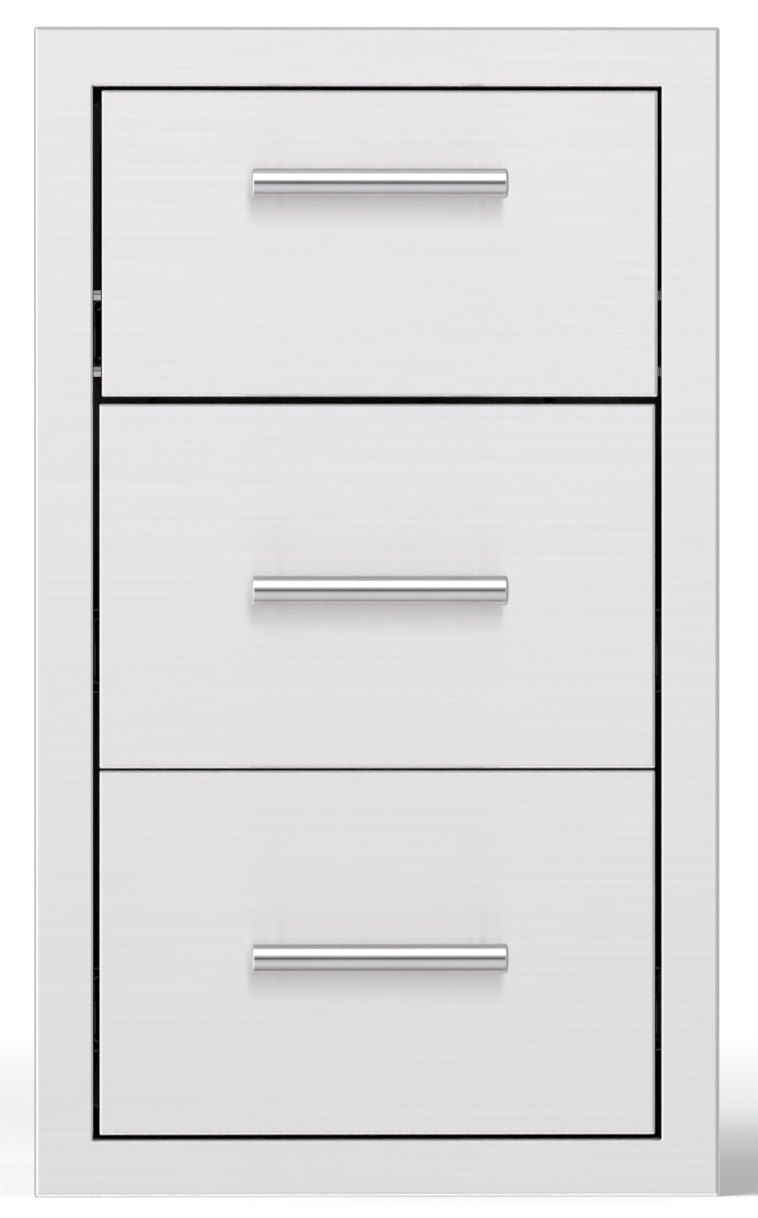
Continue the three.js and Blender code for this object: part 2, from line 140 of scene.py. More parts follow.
def steel(name, colour, roughness, anisotropy, grain, scratch, depth=1.5e-6, welds=(), bend_highlight=0):
    """Sheet steel with fine parallel scratches, and spot welds where it has them.

    Scratches are noise stretched along the grain: they set the bump and a little of the roughness. Wider
    streaks of the same direction and slow clouds shift the tone. The tangent lies across the grain, where the
    gloss is blurred. A spot weld is a shallow dimple with a straw-brown rim. Where the normal leaves Y, on
    the bends, the tone is painted lighter by the given share: a painted highlight along the folds.
    """
    material = bpy.data.materials.new(name)
    material.use_nodes = True
    tree = material.node_tree
    shader = tree.nodes["Principled BSDF"]
    width, length = scratch
    scratch_dulls, cloud_dulls, tone_swing = 0.10, 0.06, 0.06
    scratches = noise(tree, [length if axis == grain else width for axis in "XYZ"], 3.0)
    streaks = noise(tree, [8 * length if axis == grain else 12 * width for axis in "XYZ"], 2.0)
    clouds = noise(tree, (0.09, 0.09, 0.09), 2.0)
    least = roughness - (scratch_dulls + cloud_dulls) / 2
    rough = calc(tree, "MULTIPLY_ADD", scratches, scratch_dulls, least)
    rough = calc(tree, "MULTIPLY_ADD", clouds, cloud_dulls, rough)
    tone = calc(tree, "MULTIPLY_ADD", streaks, 0.5, calc(tree, "MULTIPLY", clouds, 0.5))
    shade = blend_colours(tree, tone, times(colour, 1 - tone_swing), times(colour, 1 + tone_swing))
    bump = add_node(tree, "ShaderNodeBump", Strength=1.0, Distance=depth, Height=scratches).outputs[0]
    # Painted highlight: where the normal leaves Y, on the bends, the tone is made lighter.
    if bend_highlight:
        facing = add_node(tree, "ShaderNodeTexCoord").outputs["Normal"]
        flat = calc(tree, "ABSOLUTE", add_node(tree, "ShaderNodeSeparateXYZ", Vector=facing).outputs["Y"])
        folded = add_node(tree, "ShaderNodeMapRange", Value=flat, From_Min=0.995, From_Max=0.95).outputs[0]
        shade = blend_colours(tree, folded, shade, times(colour, 1 + bend_highlight))
    if welds:
        straw, rim_strength, weld_depth = (0.72, 0.63, 0.52), 0.75, 0.0001
        spot = spot_welds(tree, welds)
        dimple = add_node(tree, "ShaderNodeMapRange", Value=spot, From_Min=0.15, From_Max=0.5).outputs[0]
        rim = calc(tree, "MULTIPLY", 4.0, calc(tree, "MULTIPLY", spot, calc(tree, "SUBTRACT", 1.0, spot)))
        rim = calc(tree, "MULTIPLY", rim, rim_strength)
        shade = blend_colours(tree, rim, shade, [part * tan for part, tan in zip(colour, straw)])
        hollow = calc(tree, "SUBTRACT", 1.0, dimple)
        dent = add_node(tree, "ShaderNodeBump", Strength=1.0, Distance=weld_depth, Height=hollow, Normal=bump)
        bump = dent.outputs[0]
    lean = 0.05
    across = {"X": (0.0, lean, 1.0), "Y": (1.0, 0.0, lean), "Z": (1.0, lean, 0.0)}[grain]
    tangent = add_node(tree, "ShaderNodeCombineXYZ", X=across[0], Y=across[1], Z=across[2])
    shader.inputs["Metallic"].default_value = 1.0
    shader.inputs["Anisotropic"].default_value = anisotropy
    tree.links.new(shade, shader.inputs["Base Color"])
    tree.links.new(rough, shader.inputs["Roughness"])
    tree.links.new(bump, shader.inputs["Normal"])
    tree.links.new(tangent.outputs[0], shader.inputs["Tangent"])
    return material


def finish_with(material, *names):
    """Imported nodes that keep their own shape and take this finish."""
    for name in names:
        nodes[name].data.materials.clear()
        nodes[name].data.materials.append(material)


mill_grey = (0.60, 0.60, 0.61)
mill_scratch = (0.0006, 0.08)
casing_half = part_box("casing_top")[1].x
flange_middle = 0.006
weld_pitch = 0.06
side_steel = steel("casing_side_steel", mill_grey, 0.36, 0.5, "Y", mill_scratch, 3e-6)
lid_welds = [("X", 0.0, casing_half - flange_middle, "Y", weld_pitch)]
lid_steel = steel("casing_lid_steel", mill_grey, 0.36, 0.5, "Y", mill_scratch, 3e-6, lid_welds)
finish_with(side_steel, "casing_left_side", "casing_right_side")
finish_with(lid_steel, "casing_top", "casing_bottom")

# Casing back
# One mill-finish sheet, spot welded over the rear flanges of the other four. Its middle is pressed inwards
# by a shallow step with rounded edges, which stiffens it.


def rounded_rectangles(low, high, profile, corner, steps):
    """Rings for a sheet whose outline is a rounded rectangle in X and Z.

    Each (inset, depth) pair of the profile gives one ring at Y = depth. A ring's point is its corner's centre
    plus radius * (cos a, sin a), where the radius is the corner's less the inset, and a runs a quarter turn
    per corner.
    """
    least_radius = 0.0002
    inset, depth = np.asarray(profile, float).T
    radius = np.maximum(corner - inset, least_radius)
    angle = (np.arange(4)[:, None] - 1 + np.linspace(0, 1, steps + 1)) * np.pi / 2
    side_x = np.array([1, 1, -1, -1])
    side_z = np.array([-1, 1, 1, -1])
    half_x = (high[0] - low[0]) / 2 - inset - radius
    half_z = (high[1] - low[1]) / 2 - inset - radius
    x = half_x[:, None, None] * side_x[:, None] + radius[:, None, None] * np.cos(angle)
    z = half_z[:, None, None] * side_z[:, None] + radius[:, None, None] * np.sin(angle)
    y = np.broadcast_to(depth[:, None, None], x.shape)
    middle_x, middle_z = (low[0] + high[0]) / 2, (low[1] + high[1]) / 2
    return np.stack([x + middle_x, y, z + middle_z], -1).reshape(len(inset), -1, 3)


def skin(rings, wrapped=False):
    """Points and faces over rings of equal count: four neighbours make a quad.

    Wrapped, the last ring joins the first. Otherwise one flat face closes each end.
    """
    index = np.arange(rings.shape[0] * rings.shape[1]).reshape(rings.shape[:2])
    here = index if wrapped else index[:-1]
    there = np.roll(index, -1, 0) if wrapped else index[1:]
    faces = np.stack([here, there, np.roll(there, -1, 1), np.roll(here, -1, 1)], -1).reshape(-1, 4).tolist()
    if not wrapped:
        faces += [index[0].tolist(), index[-1, ::-1].tolist()]
    return rings.reshape(-1, 3), faces


def together(parts):
    """Several (points, faces) pairs as one."""
    starts = np.cumsum([0] + [len(points) for points, _ in parts]).tolist()
    joined = []
    for start, (_, faces) in zip(starts, parts):
        joined += [[corner + start for corner in face] for face in faces]
    return np.concatenate([points for points, _ in parts]), joined


def mesh_of(name, points, faces):
    """A mesh with its faces turned outwards."""
    mesh = bpy.data.meshes.new(name)
    mesh.from_pydata(points, [], faces)
    solid = bmesh.new()
    solid.from_mesh(mesh)
    bmesh.ops.recalc_face_normals(solid, faces=solid.faces)
    solid.to_mesh(mesh)
    solid.free()
    return mesh


def place(name, mesh, material, body, slot, *stands_for):
    """Links a finished piece, rides it on its body and hides the nodes it stands for."""
    mesh.shade_smooth()
    mesh.set_sharp_from_angle(angle=np.radians(40))
    mesh.materials.clear()
    mesh.materials.append(material)
    made = bpy.data.objects.new(name, mesh)
    bpy.context.scene.collection.objects.link(made)
    made.modifiers.new("even_normals", "WEIGHTED_NORMAL").keep_sharp = True
    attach(made, body)
    if stands_for:
        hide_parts(*stands_for)
    return made


def casing_back():
    """Profile across the sheet: flat rim, then depth = press * (1 - cos(pi t)) / 2 over the step's width."""
    low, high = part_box("casing_back")
    sheet, corner = 0.001, 0.012
    rim, step, press = 0.045, 0.009, 0.003
    t = np.linspace(0, 1, 13)
    inwards = press * (1 - np.cos(np.pi * t)) / 2
    edge = [(0, high.y - sheet), (0, high.y)]
    inner = [(rim + step * u, high.y - sheet - d) for u, d in zip(t, inwards)][::-1]
    outer = [(rim + step * u, high.y - d) for u, d in zip(t, inwards)]
    rings = rounded_rectangles((low.x, low.z), (high.x, high.z), inner + edge + outer, corner, steps=8)
    return mesh_of("casing_back_sheet", *skin(rings))


back_low, back_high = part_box("casing_back")
back_middle = (back_low.z + back_high.z) / 2
back_welds = [
    ("X", 0.0, back_high.x - flange_middle, "Z", weld_pitch),
    ("Z", back_middle, back_high.z - back_middle - flange_middle, "X", weld_pitch),
]
back_steel = steel("casing_back_steel", mill_grey, 0.36, 0.5, "X", mill_scratch, 3e-6, back_welds)
place("casing_back_sheet", casing_back(), back_steel, "cabinet", "casing_stainless", "casing_back")

# Face frame
# One satin stainless sheet cut round the opening and folded back along its outer edge and along the opening.
# Its outer edge ends in a hem that bears on the island; the whole sheet is brushed across its width.


def quarter_arc(centre, radius, start, stop):
    """Points (u, v) = centre + radius * (cos a, sin a), with a from start to stop in quarter turns."""
    steps = 8
    angle = np.linspace(start, stop, steps + 1) * np.pi / 2
    return [(centre[0] + radius * np.cos(a), centre[1] + radius * np.sin(a)) for a in angle]


def folded_rim(sheet, bend, depth, hem):
    """A folded edge as (inset, depth) pairs: round the bend, back, in along the hem and out again."""
    tight = bend - sheet
    return [
        *quarter_arc((bend, bend), bend, -1, -2),
        *quarter_arc((bend, depth - bend), bend, 2, 1),
        (hem, depth),
        (hem, depth - sheet),
        *quarter_arc((bend, depth - bend), tight, 1, 2),
        *quarter_arc((bend, bend), tight, -2, -1),
    ]


def face_frame():
    """The rim's rings, then the opening's: the flat face lies between the two bends."""
    low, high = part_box("face_frame")
    side, top, bottom = 0.0371, 0.0375, 0.0361
    sheet, bend, outer_bend = 0.0012, 0.002, 0.003
    edge_depth, hem, outer_corner, inner_corner = 0.010, 0.009, 0.002, 0.0005
    lip = [
        *quarter_arc((bend, bend), bend - sheet, -1, -2),
        (sheet, high.y - low.y),
        (0, high.y - low.y),
        *quarter_arc((bend, bend), bend, -2, -1),
    ]
    rim = [(inset, low.y + depth) for inset, depth in folded_rim(sheet, outer_bend, edge_depth, hem)]
    lip = [(-outset, low.y + depth) for outset, depth in lip]
    opening = (low.x + side, low.z + bottom), (high.x - side, high.z - top)
    outer = rounded_rectangles((low.x, low.z), (high.x, high.z), rim, outer_corner, steps=6)
    inner = rounded_rectangles(*opening, lip, inner_corner, steps=6)
    return mesh_of("face_frame_sheet", *skin(np.concatenate([outer, inner]), wrapped=True))


# The satin sheets' bends carry a painted highlight, 9 % lighter in tone.
satin_steel = steel("satin_steel", (0.752, 0.742, 0.757), 0.25, 1.0, "X", (0.00025, 0.05), bend_highlight=0.09)
place("face_frame_sheet", face_frame(), satin_steel, "cabinet", "satin_stainless", "face_frame")

# Drawer slides
# Zinc-plated steel, roll formed: an outer member riveted to the casing, a middle one, and an inner one on the
# drawer. Each is a channel with turned lips and slots punched in its web. Balls in cages run between them.


def folded_section(path, sheet, bend):
    """A folded sheet's closed outline: the path is one face and the sheet lies on its left.

    Each side is the path moved by an offset. A corner becomes an arc that starts tan(turn / 2) radii before
    it. The arc's radius is the bend's outside, and one sheet less inside.
    """
    steps = 8
    points = np.asarray(path, float)
    ways = np.diff(points, axis=0)
    ways /= np.linalg.norm(ways, axis=1)[:, None]
    left = np.stack([-ways[:, 1], ways[:, 0]], 1)
    turn = np.arcsin(ways[:-1, 0] * ways[1:, 1] - ways[:-1, 1] * ways[1:, 0])
    mitre = left[:-1] + left[1:]
    mitre *= 2 / (mitre ** 2).sum(1)[:, None]
    lines = []
    for offset in (0.0, sheet):
        inside = (turn > 0) == (offset > 0)
        radius = np.where(inside, bend - sheet, bend)
        corner = points[1:-1] + offset * mitre
        start = corner - ways[:-1] * (radius * np.tan(np.abs(turn) / 2))[:, None]
        centre = start + left[:-1] * (np.sign(turn) * radius)[:, None]
        first = np.arctan2(*(start - centre).T[::-1])
        angle = first[:, None] + turn[:, None] * np.linspace(0, 1, steps + 1)
        arcs = centre[:, None] + radius[:, None, None] * np.stack([np.cos(angle), np.sin(angle)], -1)
        ends = points[[0, -1]] + offset * left[[0, -1]]
        lines.append(np.concatenate([ends[:1], arcs.reshape(-1, 2), ends[1:]]))
    return np.concatenate([lines[0], lines[1][::-1]])


def run_along_y(section, front, rear):
    """A section in X and Z, carried from front to rear, with its two ends closed by strips of quads."""
    count = len(section)
    x, z = np.broadcast_to(section, (2, count, 2)).transpose(2, 0, 1)
    y = np.broadcast_to(np.array([[front], [rear]]), x.shape)
    here = np.arange(count)
    sides = np.stack([here, here + count, np.roll(here, -1) + count, np.roll(here, -1)], 1)
    near = np.arange(count // 2 - 1)
    cap = np.stack([near, near + 1, count - 2 - near, count - 1 - near], 1)
    return np.stack([x, y, z], -1).reshape(-1, 3), np.concatenate([sides, cap, cap[:, ::-1] + count]).tolist()


def block(outline, x_from, x_to):
    """A prism along X: an outline in Y and Z, carried from one X to another."""
    outline = np.asarray(outline, float)
    return skin(np.array([np.insert(outline, 0, x, axis=1) for x in (x_from, x_to)]))


def slot_prisms(places, length, width, x_from, x_to):
    """Prisms across X with a slot's outline: half circles of the width, set apart along Y."""
    steps = 10
    angle = np.linspace(0, 2 * np.pi, 2 * steps, endpoint=False) + np.pi / (2 * steps)
    y = np.cos(angle) * width / 2 + np.sign(np.cos(angle)) * (length - width) / 2
    z = np.sin(angle) * width / 2
    return copies(block(np.stack([y, z], 1), x_from, x_to), [(0, y, z) for y, z in places])


def copies(piece, places):
    """The same points and faces at each of several places."""
    points, faces = piece
    moved = np.asarray(points)[None] + np.asarray(places, float)[:, None]
    starts = range(0, len(points) * len(places), len(points))
    return moved.reshape(-1, 3), [[corner + start for corner in face] for start in starts for face in faces]


def cut_by(mesh, tools):
    """The mesh with the tools' solids taken out of it, by an exact boolean."""
    holders = [bpy.data.objects.new("cut", solid) for solid in (mesh, mesh_of("tools", *tools))]
    for holder in holders:
        bpy.context.scene.collection.objects.link(holder)
    cut = holders[0].modifiers.new("cut", "BOOLEAN")
    cut.object = holders[1]
    cut.solver = "EXACT"
    result = bpy.data.meshes.new_from_object(holders[0].evaluated_get(bpy.context.evaluated_depsgraph_get()))
    result.name = mesh.name
    for holder in holders:
        bpy.data.objects.remove(holder)
    return result


def mirrored(mesh):
    """The same mesh on the other side of the unit: X turned round, and its faces with it."""
    points = np.empty(len(mesh.vertices) * 3)
    mesh.vertices.foreach_get("co", points)
    mesh.vertices.foreach_set("co", (points.reshape(-1, 3) * (-1, 1, 1)).ravel())
    mesh.flip_normals()
    mesh.update()
    return mesh


def on_both_sides(points, faces):
    """A piece and its mirror image in one: the normals are worked out afterwards, by mesh_of."""
    return together([(points, faces), (points * (-1, 1, 1), faces)])


def channel(web_x, mouth_x, level, half, lip, sheet, bend, front, rear):
    """A channel along Y: its web at one X and its mouth at another, with lips turned in where it has them."""
    path = [(mouth_x, level - half), (web_x, level - half), (web_x, level + half), (mouth_x, level + half)]
    if lip:
        path = [(mouth_x, level - half + lip), *path, (mouth_x, level + half - lip)]
    if web_x < mouth_x:
        path.reverse()
    return run_along_y(folded_section(path, sheet, bend), front, rear)


def lathe(profile, sides):
    """Rings round Z from (radius, height) pairs: (r cos a, r sin a, h)."""
    radius, height = np.asarray(profile, float).T
    angle = np.linspace(0, 2 * np.pi, sides, endpoint=False)
    x = radius[:, None] * np.cos(angle)
    y = radius[:, None] * np.sin(angle)
    return np.stack([x, y, np.broadcast_to(height[:, None], x.shape)], -1)


def ball(diameter):
    """A sphere in five bands, with small flat poles: radius R sin t at height R cos t."""
    rings = 6
    t = (np.arange(rings) + 0.5) * np.pi / rings
    return skin(lathe(np.stack([np.sin(t), np.cos(t)], 1) * diameter / 2, sides=8))


def dome(radius, rise, base, steps=6, fullness=1.0):
    """(radius, height) pairs of a domed head on its base: radius R cos^f t at height base + rise sin^f t.

    A fullness f of 1 is half an ellipse, and a smaller one has a flatter crown with a tighter edge. The crown
    ends in a tiny flat disc.
    """
    t = np.linspace(0, np.pi / 2, steps + 1)
    across = radius * np.maximum(np.cos(t), 0) ** fullness
    return list(zip(np.maximum(across, radius * pole_share), base + rise * np.sin(t) ** fullness))


def cross_recess(top, reach, width, depth):
    """A cross-shaped plug that narrows downwards from the top of a screw's head."""
    tip_reach, tip_width = reach * 0.35, width * 0.7
    rings = []
    for height, a, w in ((top + depth, reach, width), (top - depth, tip_reach, tip_width)):
        corners = [(a, -w), (a, w), (w, w), (w, a), (-w, a), (-w, w)]
        corners += [(-x, -y) for x, y in corners]
        rings.append([(x / 2, y / 2, height) for x, y in corners])
    return skin(np.array(rings))


def cross_screw(profile, top, reach, width, depth):
    """Points and faces of a turned screw round Z with a cross recess in its head."""
    mesh = cut_by(mesh_of("screw", *skin(lathe(profile, sides=32))), cross_recess(top, reach, width, depth))
    points = np.empty(len(mesh.vertices) * 3)
    mesh.vertices.foreach_get("co", points)
    return points.reshape(-1, 3), [list(face.vertices) for face in mesh.polygons]


def zinc_plate(name, colour, dullness=0.24):
    """Bright zinc over rolled steel: small spangle cells tint the tone, and grease clouds dull the gloss.

    Wherever the normal is along Y, as on the members' cut ends, the tone is painted dark as shade and the
    gloss is duller. Balls and stops take the same painted shade where they face along Y.
    """
    material = bpy.data.materials.new(name)
    material.use_nodes = True
    tree = material.node_tree
    shader = tree.nodes["Principled BSDF"]
    darkest, lightest, along_y_shade_tone = 0.88, 1.1, 0.3
    where = add_node(tree, "ShaderNodeTexCoord").outputs["Object"]
    cells = add_node(tree, "ShaderNodeTexVoronoi", Vector=where, Scale=420.0).outputs["Distance"]
    rolling = noise(tree, (0.0004, 0.06, 0.0004), 2.0)
    clouds = noise(tree, (0.02, 0.02, 0.02), 3.0)
    tone = calc(tree, "MULTIPLY_ADD", cells, 0.35, calc(tree, "MULTIPLY", clouds, 0.6))
    shade = blend_colours(tree, tone, times(colour, darkest), times(colour, lightest))
    bump = add_node(tree, "ShaderNodeBump", Strength=1.0, Distance=3e-6, Height=rolling)
    # Painted shade: faces that look along Y are darkened to a third of the colour, and made duller.
    facing = add_node(tree, "ShaderNodeTexCoord").outputs["Normal"]
    along = calc(tree, "ABSOLUTE", add_node(tree, "ShaderNodeSeparateXYZ", Vector=facing).outputs["Y"])
    along_y_shade = add_node(tree, "ShaderNodeMapRange", Value=along, From_Min=0.96, From_Max=0.995).outputs[0]
    shade = blend_colours(tree, along_y_shade, shade, times(colour, along_y_shade_tone))
    rough = calc(tree, "MULTIPLY_ADD", along_y_shade, 0.25, calc(tree, "MULTIPLY_ADD", clouds, 0.18, dullness))
    shader.inputs["Metallic"].default_value = 1.0
    tree.links.new(shade, shader.inputs["Base Color"])
    tree.links.new(rough, shader.inputs["Roughness"])
    tree.links.new(bump.outputs[0], shader.inputs["Normal"])
    return material


zinc = zinc_plate("zinc_plate", (0.62, 0.64, 0.67))
cage_zinc = zinc_plate("cage_zinc", (0.50, 0.50, 0.48))
ball_steel = zinc_plate("ball_steel", (0.70, 0.70, 0.71))
stop_zinc = zinc_plate("stop_zinc", (0.78, 0.78, 0.79), 0.06)
screw_steel = steel("screw_steel", (0.60, 0.60, 0.61), 0.30, 0.0, "X", (0.0004, 0.004), 1e-6)
slot_length, slot_width = 0.011, 0.0055
outer_slot_shares = (0.08, 0.30, 0.52, 0.74, 0.94)
middle_slot_shares = (0.12, 0.46, 0.88)
inner_slot_shares = (0.10, 0.26, 0.42, 0.58, 0.74, 0.90)
slides = {
    "outer": dict(lip=0.0025, sheet=0.0012, bend=0.0024, balls=0.0, slots=outer_slot_shares),
    "middle": dict(lip=0.0022, sheet=0.001, bend=0.0021, balls=0.004, slots=middle_slot_shares),
    "inner": dict(lip=0.0022, sheet=0.0012, bend=0.0021, balls=0.003, slots=inner_slot_shares),
}
cage_length, cage_sheet, cage_bend, cage_mouth = 0.2, 0.0004, 0.0009, 0.0022
ball_pitch = 1.75
tongue_length = 0.014
tongue_gaps = ((-0.0186, -0.0156), (0.0045, 0.0186))
pole_share = 0.03


def slide_shape(drawer, member):
    """Web, mouth, level, half height and ends of a right-hand member. Its node's box holds its balls too."""
    low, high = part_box(f"{drawer}_right_slide_{member}")
    web_x, mouth_x = (low.x, high.x) if member == "inner" else (high.x, low.x)
    half = (high.z - low.z) / 2 - slides[member]["balls"]
    return web_x, mouth_x, (low.z + high.z) / 2, half, low.y, high.y


def slide_channel(drawer, member):
    """A right-hand member with its slots punched."""
    made = slides[member]
    web_x, mouth_x, level, half, front, rear = slide_shape(drawer, member)
    section = channel(web_x, mouth_x, level, half, made["lip"], made["sheet"], made["bend"], front, rear)
    places = [(front + share * (rear - front), level) for share in made["slots"]]
    reach = 2 * made["sheet"]
    across = (web_x - reach, web_x + reach)
    tools = [slot_prisms(places, slot_length, slot_width, *across)]
    if member == "middle":
        tools += [notch(across, front + tongue_length, np.add(gap, level)) for gap in tongue_gaps]
    return cut_by(mesh_of(f"{drawer}_{member}", *section), together(tools))


def notch(across, depth_y, heights):
    """A block that cuts back the front end of a web, from well ahead of the member to one depth."""
    ahead, (low_z, high_z) = depth_y - 2 * tongue_length, heights
    return block([(ahead, low_z), (depth_y, low_z), (depth_y, high_z), (ahead, high_z)], *across)


def end_stops(drawer):
    """Bright stops pressed into the front of the outer member's ball races, which bear on the middle member.

    Each is an outline in depth and height, carried across the race: a shank between the member's lips, then
    two flats that lean back as they rise, depth = front + rise * tan(lean), with a groove between them.
    """
    web_x, mouth_x, level, half, front, _ = slide_shape(drawer, "outer")
    sheet = slides["outer"]["sheet"]
    clearance, overlap, side_gap = 0.0001, 0.0006, 0.0004
    shank, nose, groove, split_share = 0.007, 0.0017, 0.0003, 0.6
    # The flat that leans back less faces more nearly along Y, so it takes more of the zinc's painted shade.
    bright_lean, dim_lean = np.tan(np.radians((18, 12)))
    low_z, high_z = slide_shape(drawer, "middle")[3] + clearance, half + overlap
    tall, inside, first = high_z - low_z, web_x - sheet - clearance, front - nose
    split = split_share * tall
    parts = []
    for base in (low_z, -high_z):
        for bottom, top, lean in ((0, split - groove, bright_lean), (split + groove, tall, dim_lean)):
            flat = [(first, bottom), (first + (top - bottom) * lean, top), (front, top), (front, bottom)]
            parts.append(block(flat + np.array((0, level + base)), mouth_x, inside - side_gap))
        low, high = (0.0, tall - overlap - sheet) if base > 0 else (overlap + sheet, tall)
        race = [(front, low), (front, high), (front + shank, high), (front + shank, low)]
        parts.append(block(race + np.array((0, level + base)), mouth_x, inside))
    return mesh_of(f"{drawer}_end_stops", *on_both_sides(*together(parts)))


def ball_rows(drawer, member, around):
    """The balls on a member, in the race of the member around it: above and below, on both hands."""
    diameter = slides[member]["balls"]
    _, _, level, half, _, rear = slide_shape(drawer, member)
    web_x, mouth_x = slide_shape(drawer, around)[:2]
    outer_face = slide_shape(drawer, around)[3] - slides[around]["sheet"]
    pitch = ball_pitch * diameter
    y = rear - cage_length + diameter + np.arange(int(cage_length / pitch)) * pitch
    rise = (half + outer_face) / 2
    places = [((web_x + mouth_x) / 2, depth, level + side * rise) for side in (-1, 1) for depth in y]
    return mesh_of(f"{drawer}_{member}_balls", *on_both_sides(*copies(ball(diameter), places)))


def ball_cage(drawer, member, around):
    """A thin strip folded round a member's web, with its flanges through the middles of the balls."""
    _, _, level, half, _, rear = slide_shape(drawer, member)
    web_x, mouth_x = slide_shape(drawer, around)[:2]
    near_x = web_x - slides[around]["sheet"]
    facing_x = slide_shape(drawer, member)[1 if member == "inner" else 0]
    rise = (half + slide_shape(drawer, around)[3] - slides[around]["sheet"] + cage_sheet) / 2
    strip_x = (near_x + facing_x + cage_sheet) / 2
    ends = (rear - cage_length, rear)
    piece = channel(strip_x, mouth_x + cage_mouth, level, rise, 0, cage_sheet, cage_bend, *ends)
    return mesh_of(f"{drawer}_{member}_cage", *on_both_sides(*piece))


def slide_rivets():
    """Rivets through the casing's sides: a dome outside, a flat head on the outer member's web inside."""
    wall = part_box("casing_top")[1].x
    dome_radius, dome_rise, shank, head_radius, head = 0.0034, 0.0012, 0.0023, 0.0035, 0.0004
    places = []
    for drawer in ("upper", "middle", "lower"):
        web_x, _, level, _, front, rear = slide_shape(drawer, "outer")
        places += [(0, front + share * (rear - front), level) for share in outer_slot_shares[::2]]
    inner_face = web_x - slides["outer"]["sheet"]
    head_face = inner_face - head
    profile = [(head_radius * pole_share, head_face), (head_radius, head_face), (head_radius, inner_face)]
    profile += [(shank, inner_face), (shank, wall), *dome(dome_radius, dome_rise, wall)]
    rivet, faces = skin(lathe(profile, sides=24))
    return mesh_of("slide_rivets", *on_both_sides(*copies((rivet[:, [2, 0, 1]], faces), places)))


def slide_screws(drawer):
    """Pan-head screws in the inner member's channel, with a low cap inside the drawer box."""
    web_x, _, level, _, front, rear = slide_shape(drawer, "inner")
    box_sheet = 0.0012
    box_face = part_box(f"{drawer}_box_right_side")[1].x - box_sheet
    head_radius, head_rise, shank, cap_radius, cap = 0.0036, 0.0019, 0.002, 0.0034, 0.0009
    seat = web_x + slides["inner"]["sheet"]
    profile = [(radius, 2 * box_face - height) for radius, height in dome(cap_radius, cap, box_face)[::-1]]
    profile += [(shank, box_face), (shank, seat), *dome(head_radius, head_rise, seat)]
    points, faces = cross_screw(profile, seat + head_rise, reach=0.004, width=0.0008, depth=0.0012)
    places = [(0, front + share * (rear - front), level) for share in inner_slot_shares[::2]]
    return mesh_of(f"{drawer}_slide_screws", *on_both_sides(*copies((points[:, [2, 0, 1]], faces), places)))


for drawer in ("upper", "middle", "lower"):
    riders = {"outer": "cabinet", "middle": f"{drawer}_runners", "inner": f"{drawer}_drawer"}
    for member, body in riders.items():
        for hand in ("left", "right"):
            node = f"{drawer}_{hand}_slide_{member}"
            mesh = slide_channel(drawer, member)
            if hand == "left":
                mesh = mirrored(mesh)
            place(f"{node}_channel", mesh, zinc, body, "slide_steel", node)
    for member, around in (("middle", "outer"), ("inner", "middle")):
        name = f"{drawer}_{member}"
        place(f"{name}_balls", ball_rows(drawer, member, around), ball_steel, riders[member], "slide_steel")
        place(f"{name}_cages", ball_cage(drawer, member, around), cage_zinc, riders[member], "slide_steel")
    place(f"{drawer}_slide_screws", slide_screws(drawer), screw_steel, riders["inner"], "screw_stainless")
place("slide_rivets", slide_rivets(), screw_steel, "cabinet", "screw_stainless")
place("upper_end_stops", end_stops("upper"), stop_zinc, "cabinet", "slide_steel")

# Drawer boxes
# Each box is folded from mill-finish stainless: two sides with rolled top rims, a floor between them, a back,
# and the liner that closes the front from behind. They are spot welded together.

box_grey = (0.64, 0.64, 0.65)
box_scratch = (0.0005, 0.07)
floor_weld_pitch = 0.055
back_weld_pitch = 0.035
box_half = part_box("upper_box_floor")[1].x
floor_welds = [("X", 0.0, box_half - flange_middle, "Y", floor_weld_pitch)]
end_welds = [("X", 0.0, box_half - flange_middle, "Z", back_weld_pitch)]
side_finish = steel("box_side_steel", box_grey, 0.33, 0.6, "Y", box_scratch, 2.5e-6)
floor_finish = steel("box_floor_steel", box_grey, 0.33, 0.6, "Y", box_scratch, 2.5e-6, floor_welds)
end_finish = steel("box_end_steel", box_grey, 0.33, 0.6, "X", box_scratch, 2.5e-6, end_welds)
for drawer in ("upper", "middle", "lower"):
    finish_with(side_finish, f"{drawer}_box_left_side", f"{drawer}_box_right_side")
    finish_with(floor_finish, f"{drawer}_box_floor")
    finish_with(end_finish, f"{drawer}_box_back", f"{drawer}_front_liner")

# Drawer fronts
# Each front is one satin stainless sheet, brushed across its width. Its edges are folded back 20 mm and
# hemmed, and the handle's screws pass through two holes in its face.

screw_hole = 0.0056


def screw_places(drawer):
    """Middle of each handle screw, in X and Z."""
    boxes = [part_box(f"{drawer}_handle_screw_{hand}") for hand in ("left", "right")]
    return [((low.x + high.x) / 2, (low.z + high.z) / 2) for low, high in boxes]


def front_pan(drawer):
    """The rim's rings, with a flat face inside the first and the last one, less the two screw holes."""
    low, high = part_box(f"{drawer}_front_panel")
    sheet, bend, hem, corner = 0.0012, 0.0024, 0.009, 0.0012
    rim = [(inset, low.y + depth) for inset, depth in folded_rim(sheet, bend, high.y - low.y, hem)]
    rings = rounded_rectangles((low.x, low.z), (high.x, high.z), rim, corner, steps=6)
    pan = mesh_of(f"{drawer}_pan", *skin(rings))
    bore = [(screw_hole / 2, low.y - sheet), (screw_hole / 2, low.y + 2 * sheet)]
    drill = lathe(bore, sides=32)[..., [0, 2, 1]]
    return cut_by(pan, copies(skin(drill), [(x, 0, z) for x, z in screw_places(drawer)]))


for drawer in ("upper", "middle", "lower"):
    node = f"{drawer}_front_panel"
    place(f"{node}_pan", front_pan(drawer), satin_steel, f"{drawer}_drawer", "satin_stainless", node)

# Handles
# A solid stainless bar, 19 mm thick with domed ends, on two turned posts coped to it and fixed by screws from
# inside the drawer. Bar and posts are turned and polished, which leaves hair lines round them.


